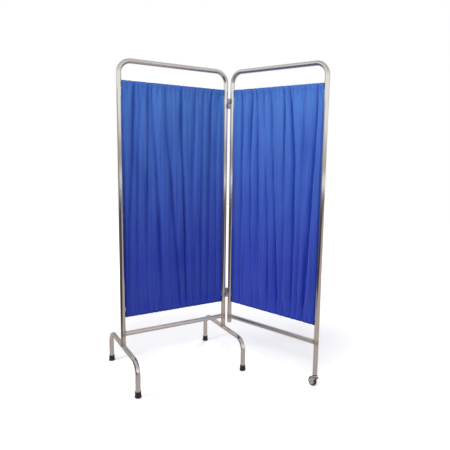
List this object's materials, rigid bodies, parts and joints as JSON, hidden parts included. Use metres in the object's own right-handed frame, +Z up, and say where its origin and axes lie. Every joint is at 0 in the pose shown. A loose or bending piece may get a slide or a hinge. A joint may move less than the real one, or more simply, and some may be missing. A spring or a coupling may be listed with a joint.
{
  "type": "ward privacy screen",
  "caption": "Folding bedside screen: hinged panels of bent stainless tube with gathered blue curtains, arched legs with rubber feet, and a swivel caster under the folding panel.",
  "frame": {"origin": "on the floor, under the middle of the bounding box of the screen as it stands", "axes": "+Z up; the panel on legs lies along X and the front, which the legs' front feet point to, faces -Y"},
  "size_m": [0.8814, 0.8668, 1.68],
  "materials": {
    "stainless_tube": "polished stainless steel tube",
    "stainless_fittings": "stainless steel rod and pressed fittings, satin",
    "bright_steel": "bright plated steel",
    "dull_steel": "dull zinc plated steel",
    "foot_rubber": "matt black rubber",
    "wheel_tyre": "black rubber tyre, slightly worn",
    "curtain_cloth": "plain mid-blue woven curtain cloth",
    "grey_plastic": "grey moulded plastic",
    "dark_plastic": "dark moulded plastic",
    "pale_plastic": "off-white moulded plastic wheel centre"
  },
  "bodies": {
    "panel_a": {"frame_tube_a": "stainless_tube", "cross_rail_a": "stainless_tube", "leg_outer": "stainless_tube", "leg_inner": "stainless_tube", "rubber_foot_outer_front": "foot_rubber", "foot_washer_outer_front": "dull_steel", "rubber_foot_outer_rear": "foot_rubber", "foot_washer_outer_rear": "dull_steel", "rubber_foot_inner_front": "foot_rubber", "foot_washer_inner_front": "dull_steel", "rubber_foot_inner_rear": "foot_rubber", "foot_washer_inner_rear": "dull_steel", "curtain_rod_a_top": "stainless_fittings", "rod_hook_a_top_outer": "stainless_fittings", "rod_hook_a_top_inner": "stainless_fittings", "curtain_rod_a_bottom": "stainless_fittings", "rod_hook_a_bottom_outer": "stainless_fittings", "rod_hook_a_bottom_inner": "stainless_fittings", "curtain_a": "curtain_cloth", "upper_hinge_knuckle_a": "stainless_fittings", "upper_hinge_washer": "dull_steel", "upper_hinge_pin": "bright_steel", "lower_hinge_knuckle_a": "stainless_fittings", "lower_hinge_washer": "dull_steel", "lower_hinge_pin": "bright_steel"},
    "panel_b": {"frame_tube_b": "stainless_tube", "cross_rail_b": "stainless_tube", "end_plug_b": "grey_plastic", "curtain_rod_b_top": "stainless_fittings", "rod_hook_b_top_outer": "stainless_fittings", "rod_hook_b_top_inner": "stainless_fittings", "curtain_rod_b_bottom": "stainless_fittings", "rod_hook_b_bottom_outer": "stainless_fittings", "rod_hook_b_bottom_inner": "stainless_fittings", "curtain_b": "curtain_cloth", "upper_hinge_knuckle_b": "stainless_fittings", "lower_hinge_knuckle_b": "stainless_fittings", "caster_sleeve": "dark_plastic", "caster_stem": "bright_steel", "swivel_head": "bright_steel"},
    "caster_swivel_body": {"caster_fork": "bright_steel", "swivel_ball_ring": "dull_steel", "axle_bolt": "bright_steel", "axle_nut": "bright_steel", "axle_sleeve": "bright_steel"},
    "caster_wheel": {"wheel_core": "pale_plastic", "wheel_tyre": "wheel_tyre"}
  },
  "joints": [
    {"name": "panel_fold", "type": "hinge", "parent": "panel_a", "child": "panel_b", "pos_m": [0.19663, 0.16088, 0], "axis": [0, 0, -1], "range_deg": [-70, 85]},
    {"name": "caster_swivel", "type": "hinge", "parent": "panel_b", "child": "caster_swivel_body", "pos_m": [0.42108, -0.41722, 0], "axis": [0, 0, 1], "continuous": true},
    {"name": "wheel_roll", "type": "hinge", "parent": "caster_swivel_body", "child": "caster_wheel", "pos_m": [0.41969, -0.40128, 0.025], "axis": [0.9962, 0.0872, 0], "continuous": true}
  ]
}
